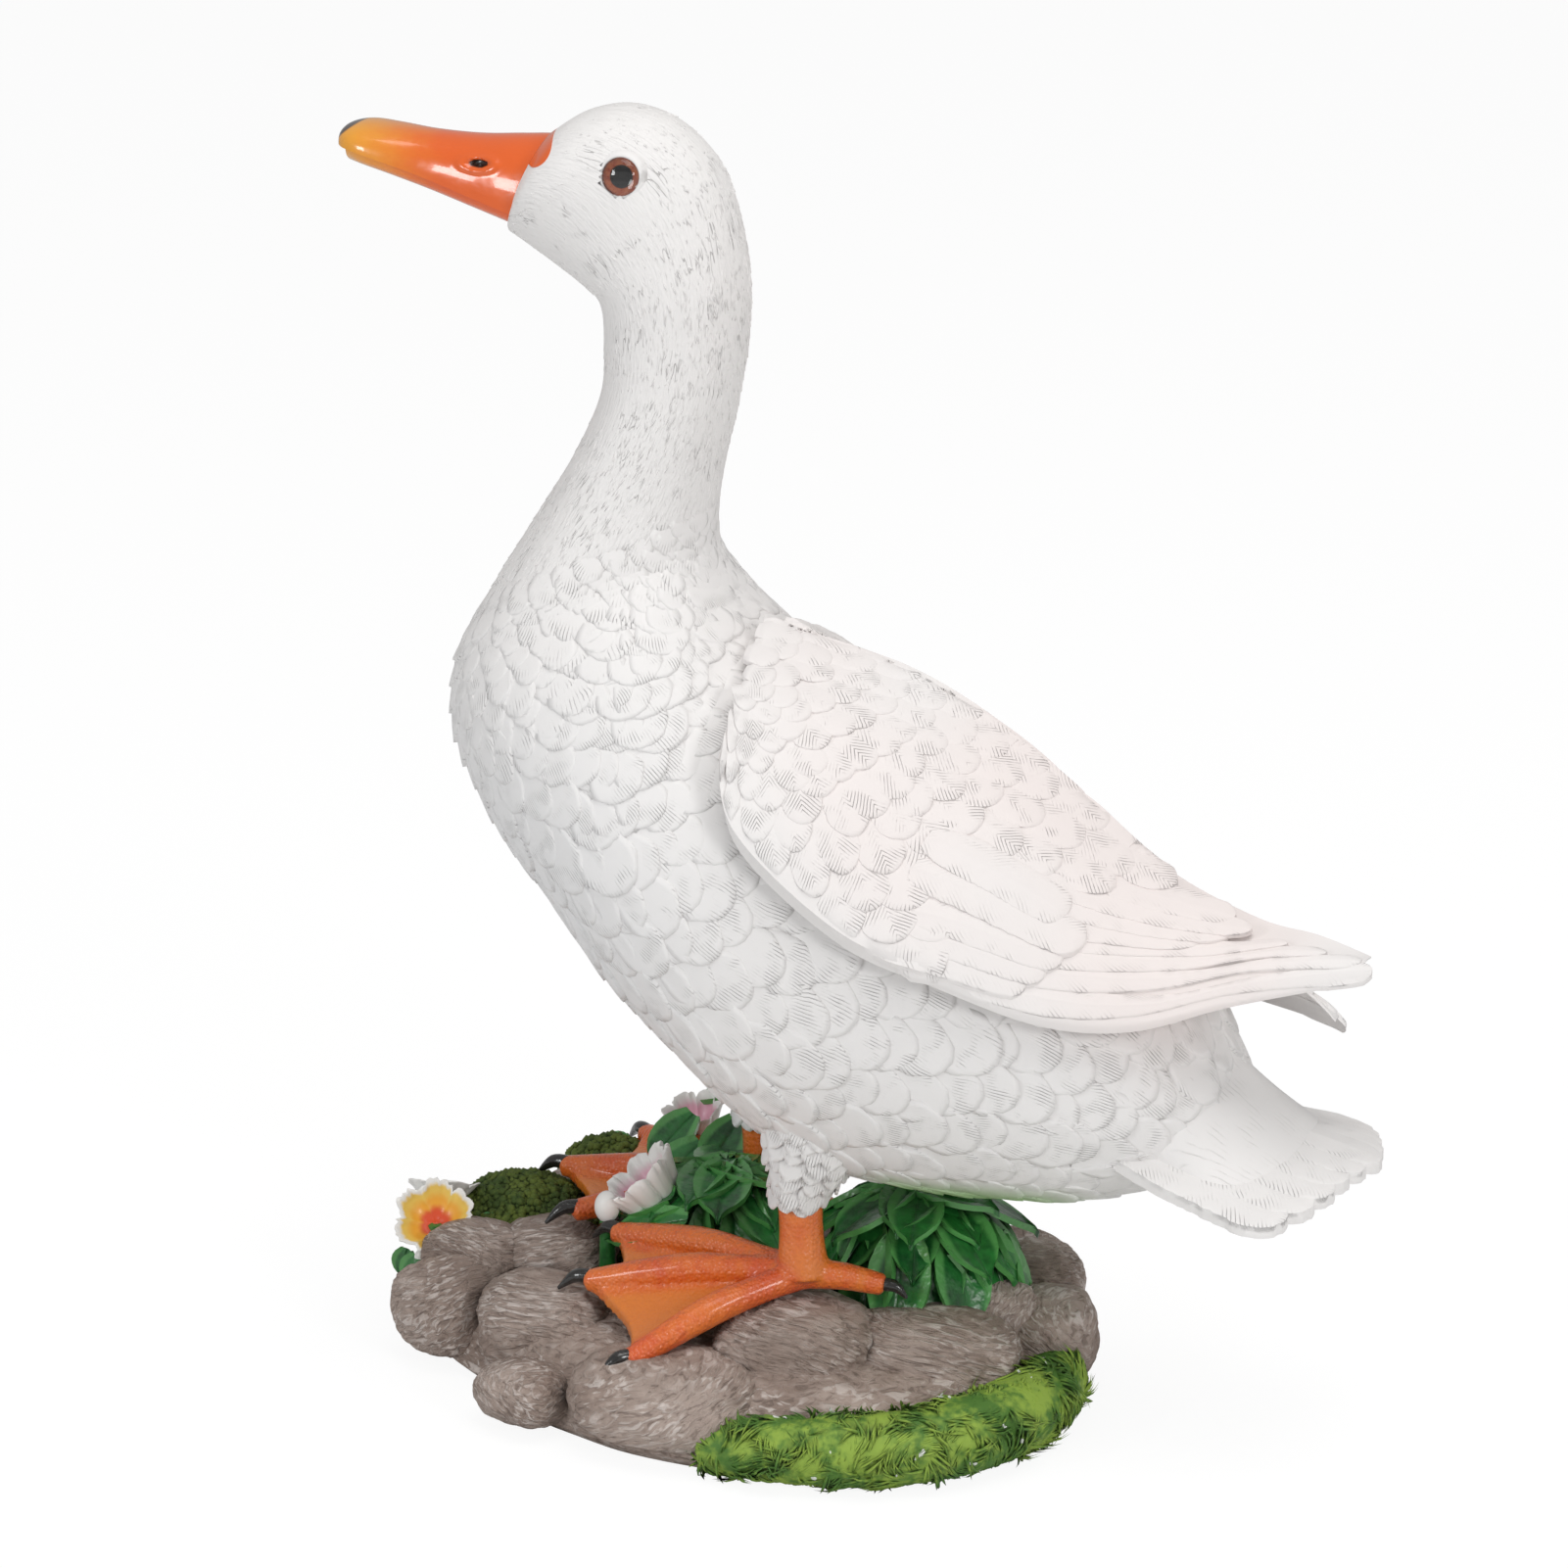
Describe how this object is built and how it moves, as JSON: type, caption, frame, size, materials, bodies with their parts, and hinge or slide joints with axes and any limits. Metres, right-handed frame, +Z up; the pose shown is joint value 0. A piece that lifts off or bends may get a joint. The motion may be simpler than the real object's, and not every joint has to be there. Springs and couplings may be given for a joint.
{
  "type": "standing duck figurine on a rock base",
  "caption": "Painted garden figurine of a standing white duck with layered feathers, webbed feet and glass eyes on a rock base with leaves, moss, grass and flowers.",
  "frame": {"origin": "on the flat underside of the rock base, near its middle, under the duck's breast", "axes": "+Z up, the duck looks along -X, its left side on -Y"},
  "size_m": [0.301, 0.1612, 0.3602],
  "materials": {
    "feather_paint": "matt white hand-painted polyresin with a thin grey wash in the grooves",
    "bill_paint": "glossy orange to amber paint with a dark nail",
    "leg_paint": "semi-gloss orange paint over pebbled skin, black claws",
    "claw_paint": "glossy black paint",
    "rock_paint": "taupe grey dry-brushed cast rock",
    "leaf_paint": "semi-gloss dark green paint with lighter edges",
    "moss_paint": "matt olive green paint over granular moss",
    "grass_paint": "matt yellow-green paint over combed grass",
    "petal_paint": "matt white petals shaded pink, yellow and orange",
    "eye_glass": "domed glass, black pupil and red-brown iris"
  },
  "bodies": {
    "root": {"duck_casting": "feather_paint", "left_eye": "eye_glass", "right_eye": "eye_glass"}
  },
  "joints": []
}
